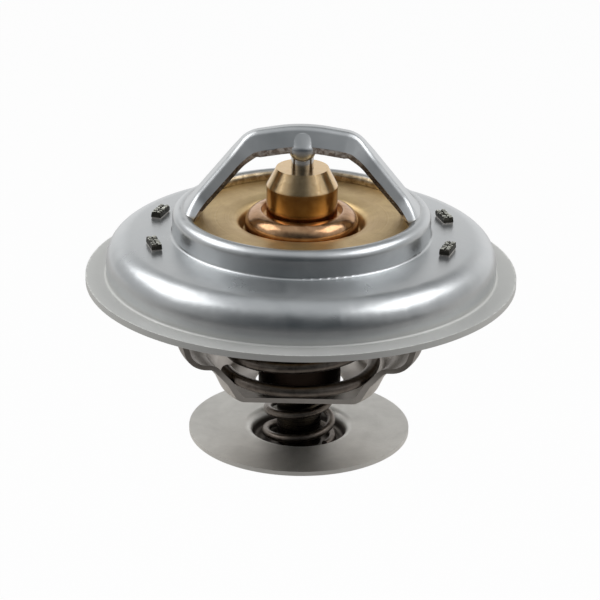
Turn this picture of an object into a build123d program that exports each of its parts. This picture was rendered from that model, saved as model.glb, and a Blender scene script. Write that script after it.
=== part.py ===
from build123d import *
import math
import os

# Engine thermostat, millimetres. The origin is on the axis, in the plane of the
# flange's underside. +Z points up to the bridge, +X along the bridge's two legs.

# Housing stamping: flange, domed neck and the bead around the opening
FLANGE_DIA = 67.0
FLANGE_RIM = 3.2
HOUSING_SHEET = 1.0
DOME_TOP = 7.0
DOME_RISE = 0.4
SHOULDER_RADIUS = 4.0
OPENING_DIA = 35.0
BEAD_WIDTH = 2.5
BEAD_HEIGHT = 4.5
NECK_BEND = 0.4
BEAD_FOOT_BEND = 0.5
BEAD_OUTER_BEND = 1.4
BEAD_INNER_BEND = 1.0
SEAT_DROP = 1.5
SEAT_GAP = 0.05

# Bridge of the same stamping: its run over the opening and its rounded section
LEG_FOOT_INSET = 0.3
LEG_FOOT_DEPTH = 1.7
SHOULDER_X = 8.4
SHOULDER_HEIGHT = 12.3
CROWN_RISE = 1.4
SHOULDER_BEND = 4.5
CROWN_BEND = 24.0
FOOT_HALF_WIDTH = 7.8
LEG_HALF_WIDTH = 5.8
ARCH_HALF_WIDTH = 4.5
LEG_DEPTH = 1.7
ARCH_DEPTH = 2.7
EDGE_ANGLE = 15.0

# Shares of the bridge's run, foot to foot, where its section changes
FLARE_END = 0.12
TAPER_END = 0.36
ARCH_START = 0.31
ARCH_FULL = 0.5
BRIDGE_SECTIONS = 40

# Socket under the bridge, and the piston pressed into it
SOCKET_WALL = 0.475
SOCKET_INSET = 0.3
SOCKET_DEPTH = 4.17
SOCKET_ROUND = 1.4
PISTON_DIA = 3.45
PISTON_LENGTH = 31.0
PISTON_COVER = 1.47
PISTON_CHAMFER = 0.4
GUIDE_FIT = 0.04
SLEEVE_FIT = 0.06
PRESS_CLEARANCE = 0.02

# Lower frame stamping: arms, ledge and the main spring's bowl
FRAME_SHEET = 0.8
FRAME_HALF_WIDTH = 8.4
LEDGE_Z = -12.2
LEDGE_WIDTH = 3.1
LEDGE_BEND = 2.6
BOWL_TOP_DIA = 31.0
BOWL_TOP_BEND = 1.2
BOWL_SLOPE_RUN = 2.0
BOWL_SLOPE_DROP = 2.6
BOWL_SLOPE_BEND = 2.5
BOWL_WALL_RUN = 1.2
BOWL_WALL_DROP = 2.7
BOWL_WALL_BEND = 0.8
FRAME_HOLE_CLEARANCE = 0.5

# Four tabs of the lower frame, peened over on the dome
TAB_DISTANCE = 3.45
TAB_WIDTH = 2.9
TAB_STEP = 0.1
TAB_ROOT_DEPTH = 3.5
HEAD_LAP = 0.45
HEAD_SPREAD = 0.35
HEAD_PROUD = 0.85
HEAD_ROUND = 0.25
SLOT_CLEARANCE = 0.08

# Main valve disc, closed on the end of the bead
VALVE_SHEET = 1.0
SEAT_OVERLAP = 1.0
VALVE_SLOPE_BEND = 5.0
RECESS_GAP = 1.4
RECESS_SLOPE = 1.8
RECESS_DROP = 0.3
RECESS_BEND = 1.0
RECESS_TAPER = 0.5
RECESS_DEPTH = 2.6
RECESS_FLOOR_BEND = 0.9

# Wax element: cup with its crimped collar, guide, sleeve, washer and wax
CUP_DIA = 13.0
CUP_SHEET = 0.8
CUP_PROUD = 0.2
CUP_ROUND = 0.6
COLLAR_DIA = 17.6
COLLAR_HEIGHT = 3.9
COLLAR_ROUND = 1.1
LIP_GAP = 0.8
GUIDE_DIA = 11.0
GUIDE_BODY = 3.9
GUIDE_TIP_DIA = 8.1
GUIDE_NOSE = 2.85
GUIDE_FLANGE = 1.2
SLEEVE_WALL = 1.9
SLEEVE_END = 1.6
TIP_CLEARANCE = 0.3
WASHER_WIDTH = 1.5
WASHER_THICKNESS = 0.9

# Coil springs: the main one in the bowl, the bypass one in the dish
POINTS_PER_TURN = 12
SPRING_GAP = 0.03
COIL_CLEARANCE = 0.4
MAIN_WIRE = 1.9
MAIN_SEAT_INSET = 1.4
MAIN_TURNS = 5.25
MAIN_CLOSED_TURNS = 0.35
MAIN_START_ANGLE = 200.0
BYPASS_WIRE = 1.3
BYPASS_CLEARANCE = 0.5
BYPASS_FLARE = 0.8
BYPASS_TURNS = 2.94
BYPASS_CLOSED_TURNS = 0.4
BYPASS_START_ANGLE = 321.0

# Bypass disc with its dish, on the stem, kept by an open ring
BYPASS_DIA = 35.0
BYPASS_Z = -26.0
BYPASS_SHEET = 0.7
DISH_MOUTH_DIA = 15.8
DISH_TAPER = 0.4
DISH_DEPTH = 2.6
DISH_BEND = 1.0
STEM_DIA = 7.0
STEM_FIT = 0.08
STEM_TAIL = 0.9
STEM_CHAMFER = 0.5
GROOVE_DEPTH = 0.7
RING_DIA = 11.0
RING_THICKNESS = 0.8
RING_MOUTH = 2.4

# Share of a straight run that the bends at its two ends may take
BEND_SHARE = 0.99

# Radii and heights that follow from the sizes above
NECK_RADIUS = FLANGE_DIA / 2 - FLANGE_RIM
BEAD_RADIUS = OPENING_DIA / 2 + BEAD_WIDTH
BEAD_TOP = DOME_TOP + BEAD_HEIGHT
SEAT_Z = BEAD_TOP - SEAT_DROP
TAB_RADIUS = BEAD_RADIUS + TAB_DISTANCE
BOWL_SLOPE_RADIUS = BOWL_TOP_DIA / 2 - BOWL_SLOPE_RUN
BOWL_SLOPE_Z = LEDGE_Z - BOWL_SLOPE_DROP
FRAME_BOTTOM = BOWL_SLOPE_Z - BOWL_WALL_DROP - FRAME_SHEET / 2
CUP_BOTTOM = FRAME_BOTTOM - CUP_PROUD
RECESS_FLOOR_Z = SEAT_Z - RECESS_DEPTH
RECESS_RADIUS = COLLAR_DIA / 2 + RECESS_GAP
COLLAR_TOP = RECESS_FLOOR_Z + COLLAR_HEIGHT
LIP_UNDERSIDE = COLLAR_TOP - CUP_SHEET
GUIDE_FOOT = LIP_UNDERSIDE - GUIDE_FLANGE
CUP_SHOULDER = RECESS_FLOOR_Z + CUP_SHEET
SLEEVE_RADIUS = PISTON_DIA / 2 + SLEEVE_FIT + SLEEVE_WALL
WASHER_RADIUS = PISTON_DIA / 2 + SLEEVE_FIT + WASHER_WIDTH
DISH_UNDERSIDE = BYPASS_Z - DISH_DEPTH
GROOVE_RADIUS = STEM_DIA / 2 - GROOVE_DEPTH


def turned(*corners):
    """Solid of revolution from the corners, radius and height, of its half section."""
    return revolve(Plane.XZ * make_face(Polyline(*corners, close=True)), Axis.Z)


def fitting_bends(corners, bends):
    """Bend radii, made smaller where two bends would need more than the run between them."""
    points = [Vector(*corner) for corner in corners]
    runs = [after - before for before, after in zip(points, points[1:])]
    reach = []
    for before, after, bend in zip(runs, runs[1:], bends):
        reach.append(bend * math.tan(math.radians(before.get_angle(after)) / 2))
    reach = [0] + reach + [0]
    fitted = []
    for place, bend in enumerate(bends):
        need = max(
            (reach[place] + reach[place + 1]) / runs[place].length,
            (reach[place + 1] + reach[place + 2]) / runs[place + 1].length,
        )
        fitted.append(bend * min(1, BEND_SHARE / need))
    return fitted


def pressed(corners, bends, sheet):
    """Turned shell of even thickness about a bent line of radius and height points."""
    line = FilletPolyline(*corners, radius=fitting_bends(corners, bends))
    return revolve(Plane.XZ * trace(line, sheet), Axis.Z)


def block(radius, low, high, thick, wide, angle):
    """Upright block at a radius and an angle, thick along the radius."""
    base = Pos(radius, 0, low) * Box(
        thick, wide, high - low, align=(Align.CENTER, Align.CENTER, Align.MIN)
    )
    return Rot(0, 0, angle) * base


def rim_edges(solid, height, largest):
    """Circular edges of a turned solid at a height: the largest one or the smallest."""
    rings = [edge for edge in solid.edges().filter_by(GeomType.CIRCLE)
             if abs(edge.center().Z - height) < 0.001]
    rings = sorted(rings, key=lambda edge: edge.radius)
    return rings[-1] if largest else rings[0]


def tab_angles():
    """Directions of the tabs, which stand along the edges of both arms."""
    aside = FRAME_HALF_WIDTH + TAB_STEP - TAB_WIDTH / 2
    angle = math.degrees(math.asin(aside / TAB_RADIUS))
    return [angle, -angle, 180 - angle, 180 + angle]


def housing_shell():
    """Flange, neck, dome and bead, before the bridge and the slots."""
    half = HOUSING_SHEET / 2
    corners = [
        (FLANGE_DIA / 2, half),
        (NECK_RADIUS - half, half),
        (NECK_RADIUS - half, DOME_TOP - half),
        (BEAD_RADIUS - half, DOME_TOP + DOME_RISE - half),
        (BEAD_RADIUS - half, BEAD_TOP - half),
        (OPENING_DIA / 2 + half, BEAD_TOP - half),
        (OPENING_DIA / 2 + half, SEAT_Z + SEAT_GAP),
    ]
    bends = [
        NECK_BEND + half,
        SHOULDER_RADIUS - half,
        BEAD_FOOT_BEND + half,
        BEAD_OUTER_BEND - half,
        BEAD_INNER_BEND - half,
    ]
    return pressed(corners, bends, HOUSING_SHEET)


def eased(start, end, value):
    """Share from 0 to 1 that rises smoothly between two values."""
    share = min(max((value - start) / (end - start), 0), 1)
    return share * share * (3 - 2 * share)


def ellipse_radii(half_width, depth):
    """Radii of the bridge's elliptical section that ends at its edge angle."""
    turn = math.radians(EDGE_ANGLE)
    return half_width / math.cos(turn), depth / (1 - math.sin(turn))


def bridge_section(crown, along, half_width, depth):
    """Crescent of the bridge's sheet, square to its run and convex outwards."""
    wide, high = ellipse_radii(half_width, depth)
    outward = Vector(-along.Z, 0, along.X)
    plane = Plane(crown - outward * high, x_dir=(0, 1, 0), z_dir=along)
    sweep_angle = 180 - 2 * EDGE_ANGLE
    outer = EllipticalCenterArc((0, 0), wide, high, EDGE_ANGLE, arc_size=sweep_angle)
    inner = EllipticalCenterArc(
        (0, 0), wide - HOUSING_SHEET, high - HOUSING_SHEET, EDGE_ANGLE, arc_size=sweep_angle
    )
    ends = [Line(outer @ 0, inner @ 0), Line(outer @ 1, inner @ 1)]
    return plane * make_face([outer, inner] + ends)


def bridge_run():
    """Line of the bridge's crown from foot to foot."""
    foot = BEAD_RADIUS - LEG_FOOT_INSET
    shoulder = BEAD_TOP + SHOULDER_HEIGHT
    corners = [
        (-foot, 0, BEAD_TOP - LEG_FOOT_DEPTH),
        (-SHOULDER_X, 0, shoulder),
        (0, 0, shoulder + CROWN_RISE),
        (SHOULDER_X, 0, shoulder),
        (foot, 0, BEAD_TOP - LEG_FOOT_DEPTH),
    ]
    bends = [SHOULDER_BEND, CROWN_BEND, SHOULDER_BEND]
    return FilletPolyline(*corners, radius=fitting_bends(corners, bends))


def crown_top():
    """Height of the bridge's highest point."""
    return (bridge_run() @ 0.5).Z


def piston_top():
    """Height of the piston's upper end, under the bridge's crown."""
    return crown_top() - PISTON_COVER


def piston_tip():
    """Height of the piston's lower end, inside the sleeve."""
    return piston_top() - PISTON_LENGTH


def bridge():
    """Bridge over the opening, lofted through sections along its run."""
    run = bridge_run()
    faces = []
    for step in range(BRIDGE_SECTIONS + 1):
        share = step / BRIDGE_SECTIONS
        from_foot = min(share, 1 - share)
        arched = eased(ARCH_START, ARCH_FULL, from_foot)
        flared = 1 - eased(0, FLARE_END, from_foot)
        tapered = eased(0, TAPER_END, from_foot)
        half_width = LEG_HALF_WIDTH + (ARCH_HALF_WIDTH - LEG_HALF_WIDTH) * tapered
        half_width = half_width + (FOOT_HALF_WIDTH - LEG_HALF_WIDTH) * flared
        depth = LEG_DEPTH + (ARCH_DEPTH - LEG_DEPTH) * arched
        faces.append(bridge_section(run @ share, run % share, half_width, depth))
    above_bead = Pos(0, 0, BEAD_TOP - HOUSING_SHEET) * Box(
        FLANGE_DIA, FLANGE_DIA, FLANGE_DIA, align=(Align.CENTER, Align.CENTER, Align.MIN)
    )
    return loft(faces) & above_bead


def piston_socket():
    """Lug pressed down from the middle of the bridge, rounded at its lower end."""
    crown = crown_top()
    width = PISTON_DIA + 2 * SOCKET_WALL
    length = 2 * (ARCH_HALF_WIDTH - SOCKET_INSET)
    outline = Pos(0, 0, crown - SOCKET_DEPTH) * Rot(0, 0, 90) * SlotOverall(length, width)
    lug = extrude(outline, SOCKET_DEPTH)
    lug = fillet(lug.faces().sort_by(Axis.Z)[0].edges(), SOCKET_ROUND)
    wide, high = ellipse_radii(ARCH_HALF_WIDTH, ARCH_DEPTH)
    half = HOUSING_SHEET / 2
    vault = Pos(-width, 0, crown - high) * extrude(
        Plane.YZ * Ellipse(wide - half, high - half), 2 * width
    )
    below = Pos(0, 0, crown - high) * Box(
        length, length, 2 * SOCKET_DEPTH, align=(Align.CENTER, Align.CENTER, Align.MAX)
    )
    return lug & (vault + below)


def housing_bridge():
    """The one-piece upper stamping."""
    body = housing_shell() + bridge() + piston_socket()
    bore = Pos(0, 0, piston_top()) * Cylinder(
        PISTON_DIA / 2 + PRESS_CLEARANCE, SOCKET_DEPTH, align=(Align.CENTER, Align.CENTER, Align.MAX)
    )
    body = body - bore
    for angle in tab_angles():
        body = body - block(
            TAB_RADIUS,
            DOME_TOP - 2 * HOUSING_SHEET,
            DOME_TOP + HOUSING_SHEET,
            FRAME_SHEET + 2 * SLOT_CLEARANCE,
            TAB_WIDTH + 2 * SLOT_CLEARANCE,
            angle,
        )
    return body


def frame_corners():
    """Middle line of the frame's sheet, from under the dome to the hole in the bowl."""
    floor = FRAME_BOTTOM + FRAME_SHEET / 2
    bowl_top = BOWL_TOP_DIA / 2
    return [
        (TAB_RADIUS, DOME_TOP),
        (bowl_top + LEDGE_WIDTH, LEDGE_Z),
        (bowl_top, LEDGE_Z),
        (BOWL_SLOPE_RADIUS, BOWL_SLOPE_Z),
        (BOWL_SLOPE_RADIUS - BOWL_WALL_RUN, floor),
        (CUP_DIA / 2 + FRAME_HOLE_CLEARANCE, floor),
    ]


def lower_frame():
    """Two arms and a bowl in one piece, with the four peened tabs."""
    bends = [LEDGE_BEND, BOWL_TOP_BEND, BOWL_SLOPE_BEND, BOWL_WALL_BEND]
    strip = Box(FLANGE_DIA, 2 * FRAME_HALF_WIDTH, 4 * FLANGE_DIA)
    shell = housing_shell()
    under_dome = Pos(0, 0, DOME_TOP - HOUSING_SHEET / 2) * Cylinder(
        FLANGE_DIA / 2, FLANGE_DIA, align=(Align.CENTER, Align.CENTER, Align.MAX)
    )
    frame = (pressed(frame_corners(), bends, FRAME_SHEET) & strip & under_dome) - shell
    head_top = DOME_TOP + DOME_RISE / 2 + HEAD_PROUD
    for angle in tab_angles():
        head = block(TAB_RADIUS, DOME_TOP, head_top, FRAME_SHEET + 2 * HEAD_SPREAD,
                     TAB_WIDTH + 2 * HEAD_LAP, angle)
        head = fillet(head.faces().sort_by(Axis.Z)[-1].edges(), HEAD_ROUND)
        head = head - shell
        tab = block(TAB_RADIUS, DOME_TOP - TAB_ROOT_DEPTH, DOME_TOP + HEAD_PROUD / 2,
                    FRAME_SHEET, TAB_WIDTH, angle)
        frame = frame + tab + head
    return frame


def piston():
    """Polished pin with a chamfered lower end."""
    radius = PISTON_DIA / 2
    tip = piston_tip()
    top = piston_top()
    pin = turned((0, tip), (radius, tip), (radius, top), (0, top))
    return chamfer(rim_edges(pin, tip, True), PISTON_CHAMFER)


def main_valve_disc():
    """Dished valve plate with its recess around the cup."""
    half = VALVE_SHEET / 2
    corners = [
        (OPENING_DIA / 2 + SEAT_OVERLAP, SEAT_Z - half),
        (RECESS_RADIUS + RECESS_SLOPE, SEAT_Z - half),
        (RECESS_RADIUS, SEAT_Z - RECESS_DROP - half),
        (RECESS_RADIUS - RECESS_TAPER, RECESS_FLOOR_Z - half),
        (CUP_DIA / 2 + PRESS_CLEARANCE, RECESS_FLOOR_Z - half),
    ]
    return pressed(corners, [VALVE_SLOPE_BEND, RECESS_BEND, RECESS_FLOOR_BEND], VALVE_SHEET)


def wax_cup():
    """Drawn cup whose wide rim is crimped over the guide."""
    inner = CUP_DIA / 2 - CUP_SHEET
    bell = COLLAR_DIA / 2 - CUP_SHEET
    lip = GUIDE_DIA / 2 + LIP_GAP
    cup = turned(
        (0, CUP_BOTTOM),
        (CUP_DIA / 2, CUP_BOTTOM),
        (CUP_DIA / 2, RECESS_FLOOR_Z),
        (COLLAR_DIA / 2, RECESS_FLOOR_Z),
        (COLLAR_DIA / 2, COLLAR_TOP),
        (lip, COLLAR_TOP),
        (lip, LIP_UNDERSIDE),
        (bell, LIP_UNDERSIDE),
        (bell, CUP_SHOULDER),
        (inner, CUP_SHOULDER),
        (inner, CUP_BOTTOM + CUP_SHEET),
        (0, CUP_BOTTOM + CUP_SHEET),
    )
    cup = fillet(rim_edges(cup, COLLAR_TOP, True), COLLAR_ROUND)
    return fillet(rim_edges(cup, CUP_BOTTOM, True), CUP_ROUND)


def guide_bush():
    """Turned guide with a conical nose and a flange under the crimped lip."""
    bore = PISTON_DIA / 2 + GUIDE_FIT
    pocket = WASHER_RADIUS + PRESS_CLEARANCE
    flange = COLLAR_DIA / 2 - CUP_SHEET - PRESS_CLEARANCE
    nose = COLLAR_TOP + GUIDE_BODY
    return turned(
        (pocket, GUIDE_FOOT),
        (flange, GUIDE_FOOT),
        (flange, LIP_UNDERSIDE),
        (GUIDE_DIA / 2, LIP_UNDERSIDE),
        (GUIDE_DIA / 2, nose),
        (GUIDE_TIP_DIA / 2, nose + GUIDE_NOSE),
        (bore, nose + GUIDE_NOSE),
        (bore, GUIDE_FOOT + WASHER_THICKNESS),
        (pocket, GUIDE_FOOT + WASHER_THICKNESS),
    )


def anti_chafe_washer():
    """Flat washer in the guide's pocket, around the piston."""
    bore = PISTON_DIA / 2 + SLEEVE_FIT
    top = GUIDE_FOOT + WASHER_THICKNESS
    return turned((bore, GUIDE_FOOT), (WASHER_RADIUS, GUIDE_FOOT), (WASHER_RADIUS, top), (bore, top))


def sleeve_bottom():
    """Height of the sleeve's closed end."""
    return piston_tip() - TIP_CLEARANCE - SLEEVE_END


def rubber_sleeve():
    """Flanged sleeve around the piston, closed at its lower end."""
    bore = PISTON_DIA / 2 + SLEEVE_FIT
    flange = COLLAR_DIA / 2 - CUP_SHEET - PRESS_CLEARANCE
    low = sleeve_bottom()
    return turned(
        (0, low),
        (SLEEVE_RADIUS, low),
        (SLEEVE_RADIUS, CUP_SHOULDER),
        (flange, CUP_SHOULDER),
        (flange, GUIDE_FOOT),
        (bore, GUIDE_FOOT),
        (bore, low + SLEEVE_END),
        (0, low + SLEEVE_END),
    )


def wax_charge():
    """Wax that fills the cup around the sleeve."""
    outer = CUP_DIA / 2 - CUP_SHEET - PRESS_CLEARANCE
    inner = SLEEVE_RADIUS + PRESS_CLEARANCE
    floor = CUP_BOTTOM + CUP_SHEET
    return turned(
        (0, floor),
        (outer, floor),
        (outer, CUP_SHOULDER),
        (inner, CUP_SHOULDER),
        (inner, sleeve_bottom()),
        (0, sleeve_bottom()),
    )


def coil(low, high, wire, turns, closed, start_angle):
    """Right-handed spring between two (radius, height) points of its wire's middle."""
    steps = round(turns * POINTS_PER_TURN)
    points = []
    for step in range(steps + 1):
        turn = turns * step / steps
        climb = min(max((turn - closed) / (turns - 2 * closed), 0), 1)
        radius = low[0] + (high[0] - low[0]) * turn / turns
        angle = math.radians(start_angle + 360 * turn)
        height = low[1] + (high[1] - low[1]) * climb
        points.append((radius * math.cos(angle), radius * math.sin(angle), height))
    path = Spline(*points)
    section = Plane(path @ 0, z_dir=path % 0) * Circle(wire / 2)
    return sweep(section, path=path, is_frenet=True)


def bowl_rest(radius, wire):
    """Height of the wire's middle where a coil of that radius rests in the bowl."""
    corners = frame_corners()
    heights = []
    for outer, inner in zip(corners[2:4], corners[3:5]):
        slope = (outer[1] - inner[1]) / (outer[0] - inner[0])
        lift = (FRAME_SHEET / 2 + wire / 2 + SPRING_GAP) * math.hypot(1, slope)
        heights.append(inner[1] + (radius - inner[0]) * slope + lift)
    return max(heights)


def main_spring():
    """Tapered spring from the bowl up to the valve disc, around the cup."""
    low_radius = BOWL_SLOPE_RADIUS - MAIN_SEAT_INSET
    high_radius = CUP_DIA / 2 + COIL_CLEARANCE + MAIN_WIRE / 2
    top = RECESS_FLOOR_Z - VALVE_SHEET - MAIN_WIRE / 2 - SPRING_GAP
    low = (low_radius, bowl_rest(low_radius, MAIN_WIRE))
    high = (high_radius, top)
    return coil(low, high, MAIN_WIRE, MAIN_TURNS, MAIN_CLOSED_TURNS, MAIN_START_ANGLE)


def bypass_disc():
    """Flat plate with a dished centre that slides on the stem."""
    half = BYPASS_SHEET / 2
    corners = [
        (BYPASS_DIA / 2, BYPASS_Z + half),
        (DISH_MOUTH_DIA / 2, BYPASS_Z + half),
        (DISH_MOUTH_DIA / 2 - DISH_TAPER, DISH_UNDERSIDE + half),
        (STEM_DIA / 2 + STEM_FIT, DISH_UNDERSIDE + half),
    ]
    return pressed(corners, [DISH_BEND, DISH_BEND], BYPASS_SHEET)


def bypass_spring():
    """Small tapered spring from the dish's floor up to the cup."""
    high_radius = STEM_DIA / 2 + BYPASS_CLEARANCE + BYPASS_WIRE / 2
    low = (high_radius + BYPASS_FLARE, DISH_UNDERSIDE + BYPASS_SHEET + BYPASS_WIRE / 2 + SPRING_GAP)
    high = (high_radius, CUP_BOTTOM - BYPASS_WIRE / 2 - SPRING_GAP)
    return coil(low, high, BYPASS_WIRE, BYPASS_TURNS, BYPASS_CLOSED_TURNS, BYPASS_START_ANGLE)


def stem():
    """Pin under the cup, with a groove for the ring and a chamfered end."""
    groove_low = DISH_UNDERSIDE - RING_THICKNESS
    end = groove_low - STEM_TAIL
    pin = turned(
        (0, end),
        (STEM_DIA / 2, end),
        (STEM_DIA / 2, groove_low),
        (GROOVE_RADIUS, groove_low),
        (GROOVE_RADIUS, DISH_UNDERSIDE),
        (STEM_DIA / 2, DISH_UNDERSIDE),
        (STEM_DIA / 2, CUP_BOTTOM),
        (0, CUP_BOTTOM),
    )
    return chamfer(rim_edges(pin, end, True), STEM_CHAMFER)


def retaining_ring():
    """Open ring in the stem's groove, under the dish."""
    bore = GROOVE_RADIUS + PRESS_CLEARANCE
    low = DISH_UNDERSIDE - RING_THICKNESS
    ring = turned((bore, low), (RING_DIA / 2, low), (RING_DIA / 2, DISH_UNDERSIDE), (bore, DISH_UNDERSIDE))
    return ring - block(RING_DIA / 2, low, DISH_UNDERSIDE, RING_DIA, RING_MOUTH, 90)


os.makedirs("parts", exist_ok=True)
pieces = {
    "housing_bridge": housing_bridge(),
    "lower_frame": lower_frame(),
    "piston": piston(),
    "main_valve_disc": main_valve_disc(),
    "wax_cup": wax_cup(),
    "guide_bush": guide_bush(),
    "anti_chafe_washer": anti_chafe_washer(),
    "rubber_sleeve": rubber_sleeve(),
    "wax_charge": wax_charge(),
    "main_spring": main_spring(),
    "bypass_disc": bypass_disc(),
    "bypass_spring": bypass_spring(),
    "stem": stem(),
    "retaining_ring": retaining_ring(),
}
for name, piece in pieces.items():
    export_step(piece, f"parts/{name}.step")
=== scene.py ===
import math
import random

import bpy
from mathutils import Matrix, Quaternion, Vector


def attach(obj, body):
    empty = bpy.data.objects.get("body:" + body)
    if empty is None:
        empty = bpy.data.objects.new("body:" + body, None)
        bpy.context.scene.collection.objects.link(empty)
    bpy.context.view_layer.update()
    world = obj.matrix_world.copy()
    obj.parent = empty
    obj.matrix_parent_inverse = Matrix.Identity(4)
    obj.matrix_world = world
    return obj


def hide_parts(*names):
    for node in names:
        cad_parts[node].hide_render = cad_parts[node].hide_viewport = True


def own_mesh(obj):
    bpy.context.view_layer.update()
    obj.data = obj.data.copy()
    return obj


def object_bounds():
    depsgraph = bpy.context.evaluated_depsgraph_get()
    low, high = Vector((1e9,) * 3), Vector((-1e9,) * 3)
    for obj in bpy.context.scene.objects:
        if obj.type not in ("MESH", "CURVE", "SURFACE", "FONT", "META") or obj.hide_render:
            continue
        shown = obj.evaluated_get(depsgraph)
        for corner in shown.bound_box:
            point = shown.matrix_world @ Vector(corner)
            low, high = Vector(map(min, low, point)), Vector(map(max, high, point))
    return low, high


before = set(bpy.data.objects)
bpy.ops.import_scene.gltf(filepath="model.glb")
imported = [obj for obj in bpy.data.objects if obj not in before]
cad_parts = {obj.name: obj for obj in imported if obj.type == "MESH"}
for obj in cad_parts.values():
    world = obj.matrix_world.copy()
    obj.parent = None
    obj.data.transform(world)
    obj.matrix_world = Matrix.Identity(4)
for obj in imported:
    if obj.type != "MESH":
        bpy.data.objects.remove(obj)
cad_low, cad_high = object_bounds()

MM = 0.001

# Rise of the turned lines along the axis, as a share of their step outwards
CONE_LEAN = 0.83

# Camera, fitted to the photograph, in metres, degrees and pixels
CAMERA_DISTANCE = 0.400
CAMERA_AZIMUTH = math.radians(0.7)
CAMERA_ELEVATION = math.radians(21.53)
CAMERA_TARGET = Vector((0.0, 0.0, 1.0 * MM))
CAMERA_ROLL = math.radians(0.81)
CAMERA_NEAR = 0.01
CAMERA_FAR = 20.0
FOCAL_PIXELS = 2566.0
IMAGE_PIXELS = 600.0
TARGET_PIXEL_X = 301.0
TARGET_PIXEL_Y = 270.6
SENSOR = 36.0

# Stage, in metres; a soft box has its azimuth and elevation, and its reach to each side, in degrees
LAMP_DISTANCE = 0.8
LEFT_BOX = (-104, 44)
LEFT_REACH = (24, 16)
LEFT_GLOW = 2.0
RIGHT_BOX = (87, 48)
RIGHT_REACH = (22, 15)
RIGHT_GLOW = 2.1
FLOOR_DROP = 0.10
FLOOR_SIZE = 6.0
FLOOR_SHADE = 0.06
FLOOR_PAINT = (0.92, 0.92, 0.92, 1.0)
FLOOR_FRONT = (0.095, 0.095, 0.097, 1.0)
FLOOR_MIDDLE = (0.60, 0.585, 0.565, 1.0)
FLOOR_FADE = (-0.42, 0.10)
FLOOR_BEHIND = (0.20, 0.90)
STUDIO_FRONT = (0.054, 0.062, 0.069, 1.0)
STUDIO_SIDES = (0.45, 0.45, 0.445, 1.0)
STUDIO_TOP = (0.46, 0.48, 0.49, 1.0)
STUDIO_BACK = (0.97, 0.97, 0.96, 1.0)
STUDIO_HALO = (0.62, 0.63, 0.64, 1.0)
WHITE = (1.0, 1.0, 1.0, 1.0)

# Where the studio's parts begin and are full, along and up being shares of a ray's direction
SIDES_ALONG = (-0.92, -0.35)
SIDES_UP = (0.80, 0.30)
TOP_UP = (0.66, 0.97)
HALO_NEARNESS = (0.60, 0.94)
BACK_TILT = 0.14
BACK_TURN = (0.50, 0.90)
BACK_UP = (0.66, 0.30)
BACK_STEEPNESS = 4.0

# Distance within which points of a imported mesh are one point, in millimetres
MERGE_WITHIN = 0.0005

# Angles in degrees up to which the pieces are smooth
STAMPING_SMOOTH = 38.0
LOBE_SMOOTH = 70.0
COIL_SMOOTH = 50.0
CUP_SMOOTH = 62.0
HEAD_SMOOTH = 25.0

# Upper stamping's rib, in millimetres: its run from foot to crown, and its packed section
RIB_FOOT = Vector((19.7, 9.8))
RIB_SHOULDER = Vector((8.4, 23.8))
RIB_PEAK = Vector((0.0, 25.2))
SHOULDER_BEND = 4.5
CROWN_BEND = 24.0
CROWN_TOP = 24.865
RIB_SHEET = 1.0
FOOT_WIDTH = 7.8
LEG_WIDTH = 5.8
ARCH_WIDTH = 4.5
LEG_DEPTH = 1.7
ARCH_DEPTH = 2.7
SECTION_TURN = math.radians(75.0)

# Shares of the rib's run where its packed width and depth change
FOOT_UNTIL = 0.12
ARCH_FROM = 0.36
DEEPER_FROM = 0.31
DEEPEST_FROM = 0.5

# Pressed section of the real rib at a share of its run: half of its flat top, the bend beside
# that, its wall's slope in degrees, the wall, and how upright its cut edge is, from 0 to 1
PRESSED = (
    (0.05, (1.5, 1.15, 63.0, 1.2, 0.45)),
    (0.25, (1.3, 1.15, 62.0, 1.4, 0.50)),
    (0.36, (0.4, 1.2, 56.0, 2.5, 1.0)),
    (0.51, (0.4, 1.2, 56.0, 2.5, 1.0)),
)

# Limits that tell the rib's points from their neighbours, in shares of the run and the sheet or
# in millimetres
RIB_START = 0.02
RIB_BLENDED = 0.12
RIB_DEPTHS = (-0.3, 4.6)
RIB_ACROSS = 1.03
RIB_WITHIN = (-0.15, 1.12)
RIB_HEIGHT = 11.0
RIB_FINE_HEIGHT = 11.6
RIB_REACH = 20.5
RIB_CUTS = 3
SURFACE_SNAP = 0.14
SECTION_MARGINS = (-0.4, 1.25)
SECTION_HALVINGS = 18

# Lug of the piston's socket under the crown, in millimetres, and the share of its width it keeps
LUG_REACH = 2.4
LUG_HEIGHT = 20.0
LUG_PINCH = 0.74

# Cut edge of the rib, in shares of the run and the sheet or in millimetres
SHEARED_FROM = 0.03
SHEARED_HEIGHT = 12.0
SHEARED_DEPTHS = (0.0, 4.0)
SHEARED_ACROSS = 0.012
SHEARED_WITHIN = (0.08, 0.92)

# Tongues of the piston's socket, in millimetres, with the lean, flare and tip as shares
LOBE_TOP = 24.2
LOBE_FOOT = 19.75
LOBE_BEND = 21.9
LOBE_LEAN = 0.56
LOBE_OUT = 1.75
LOBE_WIDE = 2.15
LOBE_DEEP = 1.6
LOBE_ROUND = 0.9
LOBE_FLARE = 0.30
LOBE_TIP_WIDE = 0.72
LOBE_TIP_DEEP = 0.10

# Fillet at the foot of the neck, in millimetres, its middle as a radius and a height
FILLET_MIDDLE = (30.7, 1.4)
FILLET_ROUND = 0.4
FILLET_RADII = (30.2, 30.9)
FILLET_HEIGHTS = (0.9, 2.2)

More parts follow.
